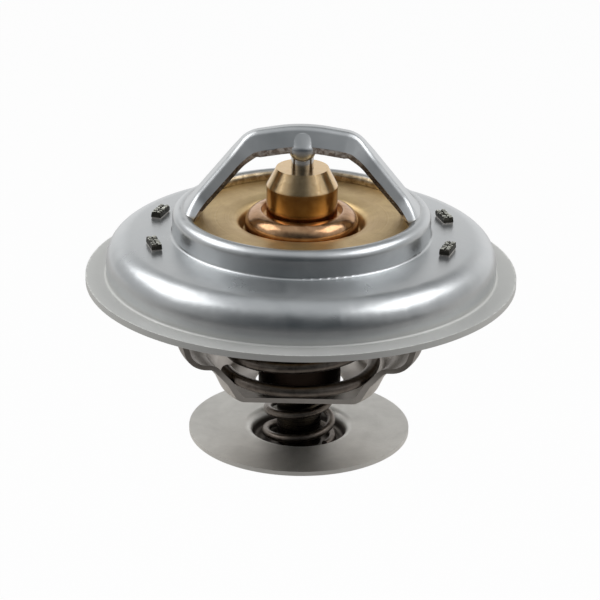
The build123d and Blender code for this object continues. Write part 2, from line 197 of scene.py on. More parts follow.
# Where the stamping's plate changes, in millimetres: radii and heights where a patch begins
# and is full, and the middle and fade of the scuff beside the bead
FLANGE_RADII = (30.15, 30.35)
FLANGE_HEIGHTS = (2.2, 1.5)
RIM_RADII = (33.15, 33.35)
OPENING_RADII = (18.6, 17.8)
OPENING_HEIGHTS = (11.6, 11.2)
DOME_INNER_RADII = (20.6, 21.2)
DOME_OUTER_RADII = (28.0, 25.5)
DOME_HEIGHTS = (6.0, 6.6)
SCUFF = (-20.3, -3.1, 7.4)
SCUFF_FADE = (1.9, 0.8)

# Crimped cup, in millimetres
CUP_RADIUS = 6.5
CUP_BOTTOM = -18.1
CUP_SHEET = 0.8
COLLAR_RADIUS = 8.8
COLLAR_FOOT = 7.4
COLLAR_TOP = 11.3
COLLAR_ROUND = 2.2
COLLAR_FOOT_ROUND = 0.4
CUP_FOOT_ROUND = 0.6
LIP_RADIUS = 6.3
LIP_ROUND = 0.2

# Peened heads of the frame's tabs, in millimetres and degrees, with the most that a point of a
# tooth is crushed outwards, sideways and down
TAB_RADIUS = 23.45
TAB_ANGLE = 17.5
HEAD_TOP = 8.05
HEAD_THICK = 1.5
HEAD_WIDE = 3.8
HEAD_HEIGHT = 0.62
HEAD_SINK = 0.28
HEAD_MARGIN = 0.12
HEAD_ROUND = 0.22
TOOTH_INSET = 0.11
TOOTH_RISE = 0.30
TIP_INSET = 0.09
TIP_RISE = 0.07
CRUSH = (0.07, 0.09, 0.16)


def node_in(tree, kind, place=(0, 0), **settings):
    """A new node of a tree, with its settings."""
    made = tree.nodes.new(kind)
    made.location = place
    for name, value in settings.items():
        setattr(made, name, value)
    return made


def feed(tree, target, source):
    """Joins an output to an input, or sets the input's value."""
    if isinstance(source, bpy.types.NodeSocket):
        tree.links.new(source, target)
    else:
        target.default_value = source


def math_node(tree, operation, *values):
    """Output of a Math node over sockets or numbers."""
    made = node_in(tree, "ShaderNodeMath", operation=operation)
    for target, value in zip(made.inputs, values):
        feed(tree, target, value)
    return made.outputs[0]


def times(tree, first, second):
    """Product of two sockets or numbers."""
    return math_node(tree, "MULTIPLY", first, second)


def plus(tree, first, second):
    """Sum of two sockets or numbers."""
    return math_node(tree, "ADD", first, second)


def spread(tree, value, from_low, from_high, to_low=0.0, to_high=1.0):
    """Output of a clamped Map Range node."""
    made = node_in(tree, "ShaderNodeMapRange")
    for target, number in zip(made.inputs, (value, from_low, from_high, to_low, to_high)):
        feed(tree, target, number)
    return made.outputs[0]


def reached(tree, length, limits):
    """Share from 0 to 1 that a length has reached between two limits in millimetres."""
    return spread(tree, length, limits[0] * MM, limits[1] * MM)


def place_parts(tree, kind="Object"):
    """Coordinates of a point, as three outputs."""
    parts = node_in(tree, "ShaderNodeSeparateXYZ")
    feed(tree, parts.inputs[0], node_in(tree, "ShaderNodeTexCoord").outputs[kind])
    return parts.outputs


def from_axis(tree, place):
    """Distance of a point from the part's axis."""
    squares = [times(tree, part, part) for part in place[:2]]
    return math_node(tree, "SQRT", plus(tree, *squares))


def noise(tree, vector, scale, detail=2.0, roughness=0.5, distortion=0.0):
    """Output of a noise texture over a vector."""
    made = node_in(tree, "ShaderNodeTexNoise")
    feed(tree, made.inputs["Vector"], vector)
    feed(tree, made.inputs["Scale"], scale)
    feed(tree, made.inputs["Detail"], detail)
    feed(tree, made.inputs["Roughness"], roughness)
    feed(tree, made.inputs["Distortion"], distortion)
    return made.outputs[0]


def noise_line(tree, value, scale, detail=2.0):
    """Output of a noise texture along one value."""
    made = node_in(tree, "ShaderNodeTexNoise", noise_dimensions="1D")
    feed(tree, made.inputs["W"], value)
    feed(tree, made.inputs["Scale"], scale)
    feed(tree, made.inputs["Detail"], detail)
    return made.outputs[0]


def mixed(tree, share, first, second):
    """Colour between two colours."""
    made = node_in(tree, "ShaderNodeMix", data_type="RGBA")
    feed(tree, made.inputs[0], share)
    feed(tree, made.inputs[6], first)
    feed(tree, made.inputs[7], second)
    return made.outputs[2]


def rgb(red, green, blue):
    """Linear colour of three shares from 0 to 255 as a screen shows them."""
    def linear(value):
        share = value / 255.0
        return share / 12.92 if share <= 0.04045 else ((share + 0.055) / 1.055) ** 2.4
    return (linear(red), linear(green), linear(blue), 1.0)


def new_group(name, inputs, outputs):
    """An empty shader node group with float sockets: its tree, what it is given and what it gives."""
    tree = bpy.data.node_groups.new(name, "ShaderNodeTree")
    for label, start in inputs.items():
        socket = tree.interface.new_socket(name=label, in_out="INPUT", socket_type="NodeSocketFloat")
        socket.default_value = start
    for label in outputs:
        tree.interface.new_socket(name=label, in_out="OUTPUT", socket_type="NodeSocketFloat")
    entry = node_in(tree, "NodeGroupInput", (-800, 0))
    leave = node_in(tree, "NodeGroupOutput", (800, 0))
    return tree, entry.outputs, leave.inputs


def satin_grain_group():
    """Fine grain of a plated or blasted surface."""
    tree, given, out = new_group(
        "satin_grain", {"Size": 0.15, "Depth": 1.0}, ["Height", "Speck"]
    )
    place = node_in(tree, "ShaderNodeTexCoord").outputs["Object"]
    scale = math_node(tree, "DIVIDE", 1.0 / MM, given["Size"])
    fine = noise(tree, place, scale, 3.0, 0.6)
    coarse = noise(tree, place, times(tree, scale, 0.31), 2.0, 0.5)
    height = plus(tree, times(tree, fine, 0.6), times(tree, coarse, 0.4))
    feed(tree, out["Height"], times(tree, height, given["Depth"]))
    feed(tree, out["Speck"], spread(tree, fine, 0.60, 0.72))
    return tree


def blotches_group():
    """Slow stains and cloudy patches of a metal surface."""
    tree, given, out = new_group("blotches", {"Size": 6.0, "Edge": 0.10}, ["Mask", "Cloud"])
    place = node_in(tree, "ShaderNodeTexCoord").outputs["Object"]
    scale = math_node(tree, "DIVIDE", 1.0 / MM, given["Size"])
    cloud = noise(tree, place, scale, 4.0, 0.55, 0.6)
    low = math_node(tree, "SUBTRACT", 0.5, given["Edge"])
    high = plus(tree, 0.5, given["Edge"])
    feed(tree, out["Mask"], spread(tree, cloud, low, high))
    feed(tree, out["Cloud"], cloud)
    return tree


def turned_lines_group():
    """Concentric tool lines about the axis, or the fine lines of a spun blank."""
    tree, given, out = new_group("turned_lines", {"Pitch": 0.2, "Depth": 1.0}, ["Height", "Line"])
    place = place_parts(tree)
    along = plus(tree, from_axis(tree, place), times(tree, place[2], CONE_LEAN))
    scale = math_node(tree, "DIVIDE", 1.0 / MM, given["Pitch"])
    line = noise_line(tree, along, scale, 2.0)
    feed(tree, out["Line"], line)
    feed(tree, out["Height"], times(tree, line, given["Depth"]))
    return tree


GRAIN = satin_grain_group()
BLOTCHES = blotches_group()
LINES = turned_lines_group()


def placed(tree, group, **values):
    """A group in a material, with its own values: its outputs."""
    made = node_in(tree, "ShaderNodeGroup", node_tree=group)
    for name, value in values.items():
        feed(tree, made.inputs[name], value)
    return made.outputs


def new_metal(name, metallic=1.0):
    """A material with its Principled shader: the material, its tree and the shader's inputs."""
    material = bpy.data.materials.new(name)
    material.use_nodes = True
    tree = material.node_tree
    shader = tree.nodes["Principled BSDF"]
    shader.inputs["Metallic"].default_value = metallic
    return material, tree, shader.inputs


def bumped(tree, target, height, distance):
    """Bump from a height between 0 and 1, its distance in millimetres."""
    made = node_in(tree, "ShaderNodeBump")
    made.inputs["Distance"].default_value = distance * MM
    feed(tree, made.inputs["Height"], height)
    feed(tree, target, made.outputs[0])


def zinc_plate():
    """Bright zinc plate of the upper stamping: matt flange, worn rim, scuff, and an opening lip tinted
    brown, partly stain and partly a painted reflection of the gold valve plate.
    """
    material, tree, shader = new_metal("zinc_plate")
    grain = placed(tree, GRAIN, Size=0.2)
    cloud = placed(tree, BLOTCHES, Size=7.0, Edge=0.22)
    stain = placed(tree, BLOTCHES, Size=0.9, Edge=0.10)
    place = place_parts(tree)
    facing_up = place_parts(tree, "Normal")[2]
    radius = from_axis(tree, place)

    plated = mixed(tree, cloud["Mask"], rgb(190, 193, 195), rgb(204, 206, 207))
    flange = times(tree, reached(tree, radius, FLANGE_RADII), reached(tree, place[2], FLANGE_HEIGHTS))
    plated = mixed(tree, flange, plated, rgb(214, 214, 211))
    rim = times(tree, reached(tree, radius, RIM_RADII), spread(tree, facing_up, 0.3, 0.6))
    worn = times(tree, rim, stain["Mask"])
    plated = mixed(tree, worn, plated, rgb(236, 236, 232))
    # Opening lip tinted brown: partly stain, partly a painted reflection of the gold valve plate under
    # it
    opening = times(
        tree, reached(tree, radius, OPENING_RADII), reached(tree, place[2], OPENING_HEIGHTS)
    )
    stain_and_gold_reflection = mixed(tree, stain["Mask"], rgb(132, 116, 92), rgb(176, 160, 134))
    plated = mixed(tree, opening, plated, stain_and_gold_reflection)
    from_scuff = node_in(tree, "ShaderNodeVectorMath", operation="DISTANCE")
    feed(tree, from_scuff.inputs[0], node_in(tree, "ShaderNodeTexCoord").outputs["Object"])
    from_scuff.inputs[1].default_value = [part * MM for part in SCUFF]
    scuffed = times(tree, reached(tree, from_scuff.outputs["Value"], SCUFF_FADE), grain["Speck"])
    plated = mixed(tree, scuffed, plated, rgb(250, 250, 248))
    feed(tree, shader["Base Color"], plated)

    dome_top = times(
        tree, reached(tree, radius, DOME_INNER_RADII), reached(tree, radius, DOME_OUTER_RADII)
    )
    dome_top = times(tree, dome_top, reached(tree, place[2], DOME_HEIGHTS))
    matt = plus(tree, times(tree, flange, 0.40), times(tree, dome_top, 0.10))
    feed(tree, shader["Metallic"], math_node(tree, "SUBTRACT", 1.0, matt))
    smooth = spread(tree, cloud["Cloud"], 0.3, 0.7, 0.27, 0.36)
    feed(tree, shader["Roughness"], plus(tree, smooth, times(tree, flange, 0.26)))
    bumped(tree, shader["Normal"], grain["Height"], 0.008)
    return material


def frame_steel():
    """Bare steel of the lower frame, a little warm and blotchy, with painted shade darkening it under
    the flange.
    """
    material, tree, shader = new_metal("frame_steel")
    grain = placed(tree, GRAIN, Size=0.28)
    cloud = placed(tree, BLOTCHES, Size=3.2, Edge=0.2)
    height = place_parts(tree)[2]
    steel = mixed(tree, cloud["Mask"], rgb(188, 182, 176), rgb(214, 208, 201))
    # Painted shade: darker steel between these heights, standing in for the flange's shadow on the bowl
    painted_shade_colour = mixed(tree, cloud["Mask"], rgb(128, 122, 116), rgb(158, 152, 145))
    under_flange_shade = times(tree, reached(tree, height, (-1.0, -4.0)), reached(tree, height, (-14.5, -12.0)))
    feed(tree, shader["Base Color"], mixed(tree, under_flange_shade, steel, painted_shade_colour))
    feed(tree, shader["Roughness"], spread(tree, cloud["Cloud"], 0.3, 0.7, 0.34, 0.5))
    bumped(tree, shader["Normal"], grain["Height"], 0.02)
    return material


def peened_steel():
    """Crushed steel of the tab heads, dark in its pits and bright on its tips."""
    material, tree, shader = new_metal("peened_steel")
    grain = placed(tree, GRAIN, Size=0.16)
    stain = placed(tree, BLOTCHES, Size=0.6, Edge=0.08)
    height = place_parts(tree)[2]
    facing_up = place_parts(tree, "Normal")[2]
    tip = times(tree, reached(tree, height, (7.85, 8.05)), spread(tree, facing_up, 0.5, 0.95))
    tip = times(tree, tip, spread(tree, stain["Cloud"], 0.38, 0.55, 0.35, 1.0))
    feed(tree, shader["Base Color"], mixed(tree, tip, rgb(70, 68, 62), rgb(222, 222, 212)))
    feed(tree, shader["Roughness"], spread(tree, stain["Cloud"], 0.3, 0.7, 0.42, 0.6))
    bumped(tree, shader["Normal"], plus(tree, grain["Height"], stain["Cloud"]), 0.06)
    return material


def sheared_steel():
    """Torn edge of the pressed sheet, without plate, with bright burrs in dark scale; painted light
    makes it paler on the arch, where its lip lies in shade.
    """
    material, tree, shader = new_metal("sheared_steel")
    grain = placed(tree, GRAIN, Size=0.3)
    stain = placed(tree, BLOTCHES, Size=0.8, Edge=0.09)
    # Painted light: paler colours on the arch lift its shaded lip, darker ones on the legs
    arch_painted_light = reached(tree, place_parts(tree)[2], (18.5, 21.5))
    dark = mixed(tree, arch_painted_light, rgb(70, 60, 52), rgb(150, 134, 124))
    pale = mixed(tree, arch_painted_light, rgb(124, 112, 102), rgb(228, 221, 216))
    burr = times(tree, grain["Speck"], 0.7)
    torn = mixed(tree, stain["Mask"], dark, pale)
    feed(tree, shader["Base Color"], mixed(tree, burr, torn, rgb(232, 230, 226)))
    feed(tree, shader["Metallic"], spread(tree, stain["Cloud"], 0.4, 0.6, 0.15, 0.5))
    feed(tree, shader["Roughness"], spread(tree, stain["Cloud"], 0.3, 0.7, 0.42, 0.6))
    bumped(tree, shader["Normal"], plus(tree, grain["Height"], stain["Cloud"]), 0.12)
    return material


def passivated_plate():
    """Yellow passivated valve plate with lathe lines and mottling."""
    material, tree, shader = new_metal("passivated_plate")
    lines = placed(tree, LINES, Pitch=0.24)
    grain = placed(tree, GRAIN, Size=0.3)
    cloud = placed(tree, BLOTCHES, Size=4.0, Edge=0.18)
    base = mixed(tree, cloud["Mask"], rgb(196, 168, 122), rgb(216, 190, 140))
    deep = times(tree, grain["Speck"], 0.35)
    feed(tree, shader["Base Color"], mixed(tree, deep, base, rgb(150, 122, 78)))
    feed(tree, shader["Roughness"], spread(tree, lines["Line"], 0.3, 0.7, 0.34, 0.46))
    height = plus(tree, lines["Height"], times(tree, grain["Height"], 0.6))
    bumped(tree, shader["Normal"], height, 0.014)
    return material


def copper_collar():
    """Polished pink copper alloy of the crimped collar; painted shade makes the cup under it dark."""
    material, tree, shader = new_metal("copper_collar")
    grain = placed(tree, GRAIN, Size=0.6)
    cloud = placed(tree, BLOTCHES, Size=1.6, Edge=0.16)
    collar = mixed(tree, cloud["Mask"], rgb(172, 132, 98), rgb(206, 166, 128))
    # Painted shade: the cup under the collar is made almost black, standing in for the shade inside the
    # frame
    cup_painted_shade = reached(tree, place_parts(tree)[2], (7.2, 6.2))
    feed(tree, shader["Base Color"], mixed(tree, cup_painted_shade, collar, rgb(54, 44, 38)))
    smooth = spread(tree, cloud["Cloud"], 0.3, 0.7, 0.16, 0.27)
    feed(tree, shader["Roughness"], plus(tree, smooth, times(tree, cup_painted_shade, 0.25)))
    bumped(tree, shader["Normal"], grain["Height"], 0.012)
    return material


def turned_brass():
    """Turned brass of the guide, paler on the cone, with a painted reflection of the gold valve plate
    making the cylinder more orange.
    """
    material, tree, shader = new_metal("turned_brass")
    lines = placed(tree, LINES, Pitch=0.07)
    cloud = placed(tree, BLOTCHES, Size=1.2, Edge=0.2)
    nose = reached(tree, place_parts(tree)[2], (15.0, 15.4))
    # Painted reflection: the cylinder is more orange than the cone, standing in for the gold valve plate
    # mirrored in it
    shank_painted_reflection = mixed(tree, cloud["Mask"], rgb(172, 128, 74), rgb(196, 152, 94))
    cone = mixed(tree, cloud["Mask"], rgb(214, 182, 136), rgb(228, 200, 158))
    feed(tree, shader["Base Color"], mixed(tree, nose, shank_painted_reflection, cone))
    feed(tree, shader["Roughness"], spread(tree, cloud["Cloud"], 0.3, 0.7, 0.18, 0.27))
    bumped(tree, shader["Normal"], lines["Height"], 0.003)
    return material


def spring_wire():
    """Dark drawn wire of both springs."""
    material, tree, shader = new_metal("spring_wire")
    grain = placed(tree, GRAIN, Size=0.2)
    cloud = placed(tree, BLOTCHES, Size=1.6, Edge=0.2)
    feed(tree, shader["Base Color"], mixed(tree, cloud["Mask"], rgb(92, 84, 78), rgb(132, 124, 116)))
    feed(tree, shader["Roughness"], spread(tree, cloud["Cloud"], 0.3, 0.7, 0.26, 0.38))
    bumped(tree, shader["Normal"], grain["Height"], 0.012)
    return material


def matt_plate():
    """Matt steel of the bypass disc, with painted shade darkening the hollow round the stem."""
    material, tree, shader = new_metal("matt_plate")
    grain = placed(tree, GRAIN, Size=0.35)
    cloud = placed(tree, BLOTCHES, Size=5.0, Edge=0.25)
    plate = mixed(tree, cloud["Mask"], rgb(214, 212, 207), rgb(232, 230, 225))
    # Painted shade: the hollow round the stem is darkened, standing in for the shade in that recess
    dish_painted_shade = reached(tree, place_parts(tree)[2], (-26.15, -26.9))
    feed(tree, shader["Base Color"], mixed(tree, dish_painted_shade, plate, rgb(118, 112, 106)))
    feed(tree, shader["Roughness"], spread(tree, grain["Height"], 0.3, 0.7, 0.4, 0.54))
    bumped(tree, shader["Normal"], grain["Height"], 0.022)
    return material


def dark_stem():
    """Very dark turned stem with a golden tint."""
    material, tree, shader = new_metal("dark_stem")
    lines = placed(tree, LINES, Pitch=0.3)
    cloud = placed(tree, BLOTCHES, Size=2.2, Edge=0.2)
    feed(tree, shader["Base Color"], mixed(tree, cloud["Mask"], rgb(52, 48, 44), rgb(78, 70, 58)))
    feed(tree, shader["Roughness"], spread(tree, lines["Line"], 0.3, 0.7, 0.24, 0.38))
    bumped(tree, shader["Normal"], lines["Height"], 0.012)
    return material


def ground_pin():
    """Ground and polished piston."""
    material, tree, shader = new_metal("ground_pin")
    lines = placed(tree, LINES, Pitch=0.12)
    cloud = placed(tree, BLOTCHES, Size=1.5, Edge=0.25)
    feed(tree, shader["Base Color"], mixed(tree, cloud["Mask"], rgb(198, 196, 192), rgb(222, 220, 216)))
    feed(tree, shader["Roughness"], spread(tree, lines["Line"], 0.3, 0.7, 0.12, 0.2))
    bumped(tree, shader["Normal"], lines["Height"], 0.005)
    return material


def soft_finish(name, dark, light, rough_low, rough_high, size, depth):
    """Plain plastic, rubber or wax with a fine grain."""
    material, tree, shader = new_metal(name, 0.0)
    grain = placed(tree, GRAIN, Size=size)
    cloud = placed(tree, BLOTCHES, Size=size * 12.0, Edge=0.2)
    feed(tree, shader["Base Color"], mixed(tree, cloud["Mask"], dark, light))
    feed(tree, shader["Roughness"], spread(tree, grain["Height"], 0.3, 0.7, rough_low, rough_high))
    bumped(tree, shader["Normal"], grain["Height"], depth)
    return material


FINISHES = {
    "housing_bridge": zinc_plate(),
    "lower_frame": frame_steel(),
    "piston": ground_pin(),
    "main_valve_disc": passivated_plate(),
    "wax_cup": copper_collar(),
    "guide_bush": turned_brass(),
    "anti_chafe_washer": soft_finish(
        "white_washer", rgb(222, 221, 214), rgb(236, 235, 230), 0.45, 0.6, 0.2, 0.01
    ),
    "rubber_sleeve": soft_finish(
        "black_rubber", rgb(34, 34, 35), rgb(48, 47, 47), 0.6, 0.8, 0.25, 0.02
    ),
    "wax_charge": soft_finish(
        "cast_wax", rgb(214, 198, 150), rgb(228, 214, 172), 0.4, 0.6, 0.5, 0.03
    ),
    "main_spring": spring_wire(),
    "bypass_disc": matt_plate(),
    "stem": dark_stem(),
}
FINISHES["bypass_spring"] = FINISHES["main_spring"]
FINISHES["tab_heads"] = peened_steel()
FINISHES["sheared_edge"] = sheared_steel()
FINISHES["retaining_ring"] = FINISHES["main_spring"]


def alone(made):
    """Selects one object and makes it the active one."""
    bpy.ops.object.select_all(action="DESELECT")
    made.select_set(True)
    bpy.context.view_layer.objects.active = made


def merged_copy(name, node_name):
    """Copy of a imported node's mesh with its points joined, left in edit mode."""
    made = bpy.data.objects.new(name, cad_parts[node_name].data.copy())
    bpy.context.scene.collection.objects.link(made)
    alone(made)
    bpy.ops.object.mode_set(mode="EDIT")
    bpy.ops.mesh.select_all(action="SELECT")
    bpy.ops.mesh.remove_doubles(threshold=MERGE_WITHIN * MM)
    bpy.ops.mesh.customdata_custom_splitnormals_clear()
    return made


def pick(made, mode, test):
    """Selects the faces whose middle and normal, or the edges whose two ends, pass a test."""
    bpy.ops.object.mode_set(mode="OBJECT")
    mesh = made.data
    for parts in (mesh.vertices, mesh.edges, mesh.polygons):
        for part in parts:
            part.select = False
    if mode == "FACE":
        for face in mesh.polygons:
            face.select = test(face.center / MM, face.normal)
    else:
        for edge in mesh.edges:
            first, second = (mesh.vertices[index].co / MM for index in edge.vertices)
            edge.select = test(first, second)
    bpy.ops.object.mode_set(mode="EDIT")
    bpy.ops.mesh.select_mode(type=mode)


def finished(made, finish, body, angle):
    """Faces the normals outwards, smooths up to an angle in degrees, and hands the piece over."""
    bpy.ops.object.mode_set(mode="EDIT")
    bpy.ops.mesh.select_all(action="SELECT")
    bpy.ops.mesh.normals_make_consistent(inside=False)
    bpy.ops.object.mode_set(mode="OBJECT")
    bpy.ops.object.transform_apply(location=True, rotation=True, scale=True)
    bpy.ops.object.shade_smooth_by_angle(angle=math.radians(angle))
    made.data.materials.clear()
    made.data.materials.append(finish)
    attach(made, body)


def smooth_share(value, start, end):
    """Share from 0 to 1 that rises smoothly between two values."""
    share = min(max((value - start) / (end - start), 0.0), 1.0)
    return share * share * (3 - 2 * share)


def rib_run(x, z):
    """Share of the rib's run, depth under its crown and outward direction of a point beside it."""
    place = Vector((x, z))
    up_leg = (RIB_SHOULDER - RIB_FOOT).normalized()
    to_peak = (RIB_PEAK - RIB_SHOULDER).normalized()
    leg_out = Vector((up_leg.y, -up_leg.x))
    peak_out = Vector((to_peak.y, -to_peak.x))
    leg_lean = math.atan2(leg_out.x, leg_out.y)
    peak_lean = math.atan2(peak_out.x, peak_out.y)
    taken = SHOULDER_BEND * math.tan((leg_lean - peak_lean) / 2)
    bend_middle = RIB_SHOULDER - up_leg * taken - leg_out * SHOULDER_BEND
    crown_middle = Vector((0.0, CROWN_TOP - CROWN_BEND))
    leg = (RIB_SHOULDER - RIB_FOOT).length - taken
    shoulder = SHOULDER_BEND * (leg_lean - peak_lean)
    beam = (RIB_PEAK - RIB_SHOULDER).length - taken - CROWN_BEND * math.tan(peak_lean)
    crown = CROWN_BEND * peak_lean
    half = leg + shoulder + beam + crown
    from_crown = place - crown_middle
    from_bend = place - bend_middle
    crown_lean = math.atan2(from_crown.x, from_crown.y)
    bend_lean = math.atan2(from_bend.x, from_bend.y)
    if crown_lean <= peak_lean:
        along = half - CROWN_BEND * crown_lean
        depth, out = CROWN_BEND - from_crown.length, from_crown.normalized()
    elif bend_lean <= peak_lean:
        along = leg + shoulder + (place - RIB_SHOULDER).dot(to_peak) - taken
        depth, out = (RIB_SHOULDER - place).dot(peak_out), peak_out
    elif bend_lean <= leg_lean:
        along = leg + SHOULDER_BEND * (leg_lean - bend_lean)
        depth, out = SHOULDER_BEND - from_bend.length, from_bend.normalized()
    else:
        along = (place - RIB_FOOT).dot(up_leg)
        depth, out = (RIB_FOOT - place).dot(leg_out), leg_out
    return along / (2 * half), depth, out


def across_sheet(share, y, depth):
    """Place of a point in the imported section, 0 to 1 from crown to edge and from outside to inside."""
    width = LEG_WIDTH + (ARCH_WIDTH - LEG_WIDTH) * smooth_share(share, 0.0, ARCH_FROM)
    width += (FOOT_WIDTH - LEG_WIDTH) * (1 - smooth_share(share, 0.0, FOOT_UNTIL))
    deep = LEG_DEPTH + (ARCH_DEPTH - LEG_DEPTH) * smooth_share(share, DEEPER_FROM, DEEPEST_FROM)
    wide = width / math.sin(SECTION_TURN)
    high = deep / (1 - math.cos(SECTION_TURN))
    outside, inside = SECTION_MARGINS
    for _ in range(SECTION_HALVINGS):
        middle = (outside + inside) / 2
        if (y / (wide - middle)) ** 2 + ((high - depth) / (high - middle)) ** 2 > 1:
            inside = middle
        else:
            outside = middle
    middle = (outside + inside) / 2
    turn = math.atan2(y / (wide - middle), (high - depth) / (high - middle))
    return turn / SECTION_TURN, middle / RIB_SHEET


def pressed_section(share):
    """Measures of the pressed section at a share of the run."""
    for (low, before), (high, after) in zip(PRESSED, PRESSED[1:]):
        if share <= high:
            part = smooth_share(share, low, high)
            return [first + (second - first) * part for first, second in zip(before, after)]
    return list(PRESSED[-1][1])


def on_section(section, across, within):
    """Offset from the middle and depth of a point of the pressed section."""
    flat, bend, slope, wall, upright = section
    slope = math.radians(slope)
    left = across * (flat + bend * slope + wall)
    step = min(left, flat)
    y, depth, left = step, 0.0, left - step
    step = min(left, bend * slope)
    lean, left = step / bend, left - step
    y, depth = y + bend * math.sin(lean), depth + bend * (1 - math.cos(lean))
    y, depth = y + left * math.cos(slope), depth + left * math.sin(slope)
    upright *= smooth_share(across, 0.7, 1.0)
    inward = math.sin(lean) * (1 - upright)
    downward = math.cos(lean) + (1 - math.cos(lean)) * upright
    return y - within * inward, depth + within * downward


def pressed(place):
    """A point of the rib moved to the real rib's section."""
    share, depth, out = rib_run(abs(place.x), place.z)
    if share < RIB_START or not RIB_DEPTHS[0] <= depth <= RIB_DEPTHS[1]:
        return place
    across, within = across_sheet(share, abs(place.y), depth)
    if across > RIB_ACROSS or not RIB_WITHIN[0] <= within <= RIB_WITHIN[1]:
        on_lug = abs(place.x) < LUG_REACH and place.z > LUG_HEIGHT
        return Vector((place.x, place.y * LUG_PINCH, place.z)) if on_lug else place
    within = 0.0 if within < SURFACE_SNAP else min(within, 1.0)
    within = 1.0 if within > 1.0 - SURFACE_SNAP else within
    y, deep = on_section(pressed_section(share), min(across, 1.0), within * RIB_SHEET)
    new = Vector((abs(place.x), place.z)) + out * (depth - deep)
    new = Vector((math.copysign(1.0, place.x) * new.x, math.copysign(1.0, place.y) * y, new.y))
    return place.lerp(new, smooth_share(share, RIB_START, RIB_BLENDED))


def is_sheared(place):
    """True in the middle of the sheet on the rib's cut edges."""
    share, depth = rib_run(abs(place.x), place.z)[:2]
    if share < SHEARED_FROM or place.z < SHEARED_HEIGHT:
        return False
    if not SHEARED_DEPTHS[0] <= depth <= SHEARED_DEPTHS[1]:
        return False
    across, within = across_sheet(share, abs(place.y), depth)
    return abs(across - 1.0) < SHEARED_ACROSS and SHEARED_WITHIN[0] < within < SHEARED_WITHIN[1]


def even_fillet(mesh):
    """Gives the fillet at the foot of the neck the normals of a true round."""
    normals = [Vector(corner.vector) for corner in mesh.corner_normals]
    for face in mesh.polygons:
        middle = face.center / MM
        is_outer = face.normal.z >= -0.1 and face.normal.xy.dot(middle.xy.normalized()) >= -0.2
        if middle.z < FILLET_HEIGHTS[0] or not is_outer:
            continue
        for corner in face.loop_indices:
            place = mesh.vertices[mesh.loops[corner].vertex_index].co / MM
            radius = place.xy.length
            on_fillet = FILLET_RADII[0] < radius < FILLET_RADII[1]
            if on_fillet and FILLET_HEIGHTS[0] < place.z < FILLET_HEIGHTS[1]:
                out = min(max((FILLET_MIDDLE[0] - radius) / FILLET_ROUND, 0.0), 1.0)
                up = min(max((FILLET_MIDDLE[1] - place.z) / FILLET_ROUND, 0.0), 1.0)
                true_normal = Vector((place.x * out / radius, place.y * out / radius, up))
                normals[corner] = true_normal.normalized()
    mesh.normals_split_custom_set(normals)


def upper_stamping():
    """The housing's stamping, its rib pressed to the steep walls and torn lip of the real one."""
    made = merged_copy("upper_stamping", "housing_bridge")
    pick(made, "FACE", lambda middle, normal: (
        middle.z > RIB_FINE_HEIGHT and middle.xy.length < RIB_REACH))
    bpy.ops.mesh.subdivide(number_cuts=RIB_CUTS)
    bpy.ops.object.mode_set(mode="OBJECT")
    made.data.materials.clear()
    made.data.materials.append(FINISHES["housing_bridge"])
    made.data.materials.append(FINISHES["sheared_edge"])
    for face in made.data.polygons:
        face.material_index = 1 if is_sheared(face.center / MM) else 0
    for vertex in made.data.vertices:
        if vertex.co.z > RIB_HEIGHT * MM and vertex.co.xy.length < RIB_REACH * MM:
            vertex.co = pressed(vertex.co / MM) * MM
    bpy.ops.object.shade_smooth_by_angle(angle=math.radians(STAMPING_SMOOTH))
    weighted = made.modifiers.new("weighted", "WEIGHTED_NORMAL")
    weighted.keep_sharp = True
    bpy.ops.object.modifier_apply(modifier="weighted")
    even_fillet(made.data)
    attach(made, "housing")
    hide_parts("housing_bridge")


def socket_lobes():
    """Rounded tongues of the piston's socket, hanging at the front and the back of the rib."""
    bpy.ops.object.select_all(action="DESELECT")
    bpy.ops.mesh.primitive_cylinder_add(
        vertices=48, radius=1.0 * MM, depth=(LOBE_TOP - LOBE_FOOT) * MM,
        location=(0, -LOBE_OUT * MM, (LOBE_TOP + LOBE_FOOT) / 2 * MM),
    )
    front = bpy.context.object
    front.scale = (LOBE_WIDE, LOBE_DEEP, 1.0)
    bpy.ops.object.transform_apply(location=True, rotation=True, scale=True)
    front.name = "front_lobe"
    pick(front, "EDGE", lambda first, second: (
        abs(first.z - second.z) < 0.01 and first.z < LOBE_FOOT + 0.01))
    bpy.ops.mesh.bevel(offset=LOBE_ROUND * MM, segments=8, profile=0.5)
    pick(front, "EDGE", lambda first, second: abs(first.z - second.z) > 2.0)
    bpy.ops.mesh.subdivide(number_cuts=15)
    bpy.ops.object.mode_set(mode="OBJECT")
    for vertex in front.data.vertices:
        height = vertex.co.z / MM
        up = max(height - LOBE_BEND, 0.0) / (LOBE_TOP - LOBE_BEND)
        down = max(LOBE_BEND - height, 0.0) / (LOBE_BEND - LOBE_FOOT)
        vertex.co.y *= (1 - LOBE_LEAN * up) * (1 - LOBE_TIP_DEEP * down * down)
        vertex.co.x *= (1 + LOBE_FLARE * up) * (1 - LOBE_TIP_WIDE * down * down) ** 0.5
    alone(front)
    bpy.ops.object.duplicate(linked=False)
    back = bpy.context.object
    back.name = "back_lobe"
    bpy.ops.transform.rotate(value=math.pi, orient_axis="Z", center_override=(0, 0, 0))
    bpy.ops.object.transform_apply(location=True, rotation=True, scale=True)
    for lobe in (front, back):
        alone(lobe)
        finished(lobe, FINISHES["housing_bridge"], "housing", LOBE_SMOOTH)


def squeezed_coil(name, node_name, body):
    """Copy of a packed spring with its points joined, in place of the imported node."""
    made = merged_copy(name, node_name)
    finished(made, FINISHES[node_name], body, COIL_SMOOTH)
    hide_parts(node_name)
    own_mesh(made)


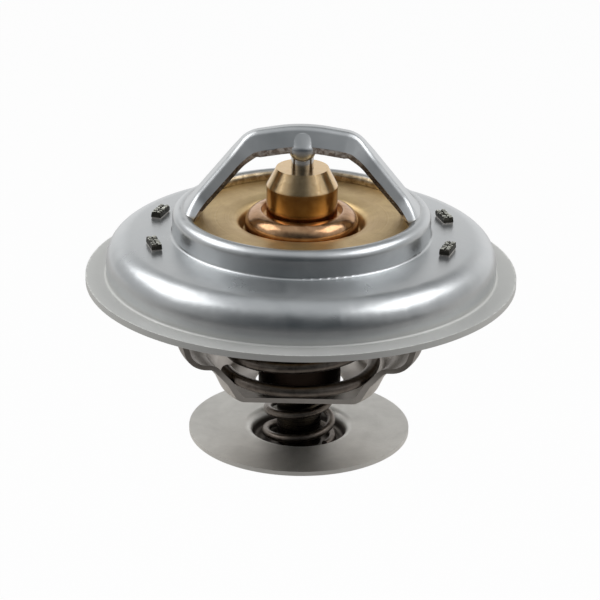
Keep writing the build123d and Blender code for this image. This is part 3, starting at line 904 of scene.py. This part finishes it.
def cap_to(made, level, radius_factor, rise):
    """Extrudes the cap at a level, scaled about the axis by a factor and raised in millimetres."""
    pick(made, "FACE", lambda middle, normal: (
        normal.z > 0.9 and abs(middle.z - level) < 0.01 and middle.xy.length < 0.1))
    bpy.ops.mesh.extrude_region_move(TRANSFORM_OT_translate={"value": (0, 0, rise * MM)})
    if radius_factor != 1.0:
        bpy.ops.transform.resize(
            value=(radius_factor, radius_factor, 1), center_override=(0, 0, 0))


def crimped_cup():
    """Drawn cup with a round shoulder crimped in to a narrow lip over the guide."""
    bpy.ops.object.select_all(action="DESELECT")
    bpy.ops.mesh.primitive_cylinder_add(
        vertices=128, radius=CUP_RADIUS * MM, depth=(COLLAR_FOOT - CUP_BOTTOM) * MM,
        location=(0, 0, (COLLAR_FOOT + CUP_BOTTOM) / 2 * MM),
    )
    bpy.ops.object.transform_apply(location=True, rotation=True, scale=True)
    made = bpy.context.object
    made.name = "crimped_cup"
    bell = COLLAR_RADIUS - CUP_SHEET
    bore = CUP_RADIUS - CUP_SHEET
    steps = [
        (COLLAR_FOOT, CUP_RADIUS, COLLAR_RADIUS, 0.0),
        (COLLAR_FOOT, COLLAR_RADIUS, COLLAR_RADIUS, COLLAR_TOP - COLLAR_FOOT),
        (COLLAR_TOP, COLLAR_RADIUS, LIP_RADIUS, 0.0),
        (COLLAR_TOP, LIP_RADIUS, LIP_RADIUS, -CUP_SHEET),
        (COLLAR_TOP - CUP_SHEET, LIP_RADIUS, bell, 0.0),
        (COLLAR_TOP - CUP_SHEET, bell, bell, COLLAR_FOOT - COLLAR_TOP + 2 * CUP_SHEET),
        (COLLAR_FOOT + CUP_SHEET, bell, bore, 0.0),
        (COLLAR_FOOT + CUP_SHEET, bore, bore, CUP_BOTTOM - COLLAR_FOOT),
    ]
    for level, before, after, rise in steps:
        cap_to(made, level, after / before, rise)

    def on_ring(radius, height):
        """Test that tells whether both ends of an edge lie on a ring."""
        return lambda *ends: all(
            abs(end.z - height) < 0.01 and abs(end.xy.length - radius) < 0.02 for end in ends)

    rounds = (
        (COLLAR_RADIUS, COLLAR_TOP, COLLAR_ROUND, 14),
        (LIP_RADIUS, COLLAR_TOP, LIP_ROUND, 3),
        (COLLAR_RADIUS, COLLAR_FOOT, COLLAR_FOOT_ROUND, 4),
        (CUP_RADIUS, CUP_BOTTOM, CUP_FOOT_ROUND, 6),
    )
    for radius, height, offset, segments in rounds:
        pick(made, "EDGE", on_ring(radius, height))
        bpy.ops.mesh.bevel(offset=offset * MM, segments=segments, profile=0.5)
    finished(made, FINISHES["wax_cup"], "element", CUP_SMOOTH)
    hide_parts("wax_cup")


def peened_heads():
    """Serrated crowns that the peening tool leaves on the four tabs."""
    bpy.ops.object.select_all(action="DESELECT")
    bpy.ops.mesh.primitive_cube_add(
        size=1.0 * MM, location=(TAB_RADIUS * MM, 0, (HEAD_TOP - HEAD_SINK) * MM),
    )
    head = bpy.context.object
    head.scale = (HEAD_THICK + HEAD_MARGIN, HEAD_WIDE + HEAD_MARGIN, HEAD_HEIGHT)
    bpy.ops.object.transform_apply(location=True, rotation=True, scale=True)
    pick(head, "EDGE", lambda first, second: abs(first.y - second.y) > 1.0)
    bpy.ops.mesh.subdivide(number_cuts=5)
    pick(head, "EDGE", lambda first, second: abs(first.x - second.x) > 1.0)
    bpy.ops.mesh.subdivide(number_cuts=1)
    pick(head, "FACE", lambda middle, normal: normal.z > 0.9)
    for inset, rise in ((TOOTH_INSET, TOOTH_RISE), (TIP_INSET, TIP_RISE)):
        bpy.ops.mesh.inset(thickness=inset * MM, use_individual=True)
        bpy.ops.transform.translate(value=(0, 0, rise * MM))
    pick(head, "EDGE", lambda first, second: (
        first.z < HEAD_TOP and second.z < HEAD_TOP and abs(first.z - second.z) > 0.4))
    bpy.ops.mesh.bevel(offset=HEAD_ROUND * MM, segments=3, profile=0.5)
    bpy.ops.object.mode_set(mode="OBJECT")
    angles = (TAB_ANGLE, -TAB_ANGLE, 180 - TAB_ANGLE, 180 + TAB_ANGLE)
    for name, angle in zip(("tab_head_a", "tab_head_b", "tab_head_c", "tab_head_d"), angles):
        made = bpy.data.objects.new(name, head.data.copy())
        bpy.context.scene.collection.objects.link(made)
        for vertex in made.data.vertices:
            if vertex.co.z > (HEAD_TOP - 0.1) * MM:
                vertex.co.x += random.uniform(-CRUSH[0], CRUSH[0]) * MM
                vertex.co.y += random.uniform(-CRUSH[1], CRUSH[1]) * MM
                vertex.co.z -= random.uniform(0.0, CRUSH[2]) * MM
        alone(made)
        made.rotation_euler = (0, 0, math.radians(angle))
        finished(made, FINISHES["tab_heads"], "housing", HEAD_SMOOTH)
    bpy.data.objects.remove(head)


def dress_nodes():
    """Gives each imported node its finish."""
    for name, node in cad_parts.items():
        for place in node.material_slots:
            place.material = FINISHES[name]


def set_camera():
    """Camera at the photograph's place, aimed so that the part lies as it does there."""
    flat = math.cos(CAMERA_ELEVATION)
    back = Vector((
        math.sin(CAMERA_AZIMUTH) * flat,
        -math.cos(CAMERA_AZIMUTH) * flat,
        math.sin(CAMERA_ELEVATION),
    ))
    data = bpy.data.cameras.new("photo_camera")
    data.sensor_width = SENSOR
    data.lens = SENSOR * FOCAL_PIXELS / IMAGE_PIXELS
    camera = bpy.data.objects.new("photo_camera", data)
    bpy.context.scene.collection.objects.link(camera)
    camera.location = CAMERA_TARGET + back * CAMERA_DISTANCE
    pitch = math.atan((IMAGE_PIXELS / 2 - TARGET_PIXEL_Y) / FOCAL_PIXELS)
    yaw = math.atan((TARGET_PIXEL_X - IMAGE_PIXELS / 2) / FOCAL_PIXELS)
    turn = (-back).to_track_quat("-Z", "Y")
    turn = turn @ Quaternion((0, 0, 1), CAMERA_ROLL)
    turn = turn @ Quaternion((1, 0, 0), -pitch) @ Quaternion((0, 1, 0), yaw)
    camera.rotation_mode = "QUATERNION"
    camera.rotation_quaternion = turn
    data.clip_start = CAMERA_NEAR
    data.clip_end = CAMERA_FAR
    bpy.context.scene.camera = camera


def aimed(azimuth, elevation):
    """Direction from the part, its azimuth from the front and its elevation in degrees."""
    around, up = math.radians(azimuth), math.radians(elevation)
    level = math.cos(up)
    return Vector((math.sin(around) * level, -math.cos(around) * level, math.sin(up)))


def seen_directly(tree):
    """1 for the camera's rays and for those that glass passes on, and 0 for all others."""
    path = node_in(tree, "ShaderNodeLightPath").outputs
    return math_node(tree, "MAXIMUM", path["Is Camera Ray"], path["Is Transmission Ray"])


def mirrored(tree, behind):
    """Share of the white background that a mirrored ray meets: all of it well behind the part."""
    glossy = node_in(tree, "ShaderNodeLightPath").outputs["Is Glossy Ray"]
    return times(tree, glossy, math_node(tree, "POWER", behind, BACK_STEEPNESS))


def set_world():
    """White background, also in the metal, with a dark studio on the camera's side."""
    world = bpy.data.worlds.new("studio")
    bpy.context.scene.world = world
    world.use_nodes = True
    tree = world.node_tree
    across, along, up = place_parts(tree, "Generated")
    low_sides = times(tree, spread(tree, along, *SIDES_ALONG), spread(tree, up, *SIDES_UP))
    room = mixed(tree, low_sides, STUDIO_FRONT, STUDIO_SIDES)
    room = mixed(tree, spread(tree, up, *TOP_UP), room, STUDIO_TOP)
    for azimuth, elevation in (LEFT_BOX, RIGHT_BOX):
        near_box = node_in(tree, "ShaderNodeVectorMath", operation="DOT_PRODUCT")
        feed(tree, near_box.inputs[0], node_in(tree, "ShaderNodeTexCoord").outputs["Generated"])
        near_box.inputs[1].default_value = aimed(azimuth, elevation)
        room = mixed(tree, spread(tree, near_box.outputs["Value"], *HALO_NEARNESS), room, STUDIO_HALO)
    level_square = math_node(tree, "SUBTRACT", 1.0, times(tree, up, up))
    level = math_node(tree, "SQRT", math_node(tree, "MAXIMUM", 0.0001, level_square))
    towards_back = plus(tree, times(tree, across, BACK_TILT), along)
    turned_away = math_node(tree, "DIVIDE", towards_back, level)
    behind = times(tree, spread(tree, turned_away, *BACK_TURN), spread(tree, up, *BACK_UP))
    lit = mixed(tree, behind, room, STUDIO_BACK)
    white = math_node(tree, "MAXIMUM", seen_directly(tree), mirrored(tree, behind))
    background = tree.nodes["Background"]
    feed(tree, background.inputs["Color"], mixed(tree, white, lit, WHITE))
    background.inputs["Strength"].default_value = 1.0


def floor_finish():
    """Pale floor with the part's soft shadow, white to the camera and in the metal behind the part."""
    material = bpy.data.materials.new("pale_floor")
    material.use_nodes = True
    tree = material.node_tree
    tree.nodes.clear()
    out = node_in(tree, "ShaderNodeOutputMaterial")
    along = place_parts(tree)[1]
    behind = spread(tree, along, *FLOOR_BEHIND)
    lit = mixed(tree, spread(tree, along, *FLOOR_FADE), FLOOR_FRONT, FLOOR_MIDDLE)
    white = math_node(tree, "MAXIMUM", seen_directly(tree), mirrored(tree, behind))
    glow = node_in(tree, "ShaderNodeEmission")
    feed(tree, glow.inputs["Color"], mixed(tree, white, lit, WHITE))
    glow.inputs["Strength"].default_value = 1.0
    diffuse = node_in(tree, "ShaderNodeBsdfDiffuse")
    diffuse.inputs["Color"].default_value = FLOOR_PAINT
    blend = node_in(tree, "ShaderNodeMixShader")
    blend.inputs[0].default_value = 1.0 - FLOOR_SHADE
    tree.links.new(diffuse.outputs[0], blend.inputs[1])
    tree.links.new(glow.outputs[0], blend.inputs[2])
    tree.links.new(blend.outputs[0], out.inputs["Surface"])
    return material


def set_floor():
    """Plain pale floor, well under the part, as the photograph shows no shadow."""
    bpy.ops.object.select_all(action="DESELECT")
    bpy.ops.mesh.primitive_plane_add(size=FLOOR_SIZE, location=(0, 0, cad_low.z - FLOOR_DROP))
    floor = bpy.context.object
    floor.name = "floor"
    floor.data.materials.append(floor_finish())


def softbox(name, place, reach, radiance):
    """Soft box at an azimuth and elevation, its reach to each side in degrees, facing the part."""
    width, height = (2 * LAMP_DISTANCE * math.tan(math.radians(side)) for side in reach)
    data = bpy.data.lights.new(name, "AREA")
    data.shape = "RECTANGLE"
    data.size, data.size_y = width, height
    data.energy = radiance * math.pi * width * height
    lamp = bpy.data.objects.new(name, data)
    bpy.context.scene.collection.objects.link(lamp)
    aim = aimed(*place)
    lamp.location = aim * LAMP_DISTANCE
    lamp.rotation_mode = "QUATERNION"
    lamp.rotation_quaternion = (-aim).to_track_quat("-Z", "Y")


def set_lamps():
    """A soft box high on each side of the part."""
    softbox("left_box", LEFT_BOX, LEFT_REACH, LEFT_GLOW)
    softbox("right_box", RIGHT_BOX, RIGHT_REACH, RIGHT_GLOW)


random.seed(7)
dress_nodes()
upper_stamping()
socket_lobes()
crimped_cup()
peened_heads()
squeezed_coil("main_coil", "main_spring", "housing")
squeezed_coil(
    "bypass_coil", "bypass_spring", "element"
)
set_camera()
set_world()
set_floor()
set_lamps()
bpy.context.scene.view_settings.view_transform = "Standard"
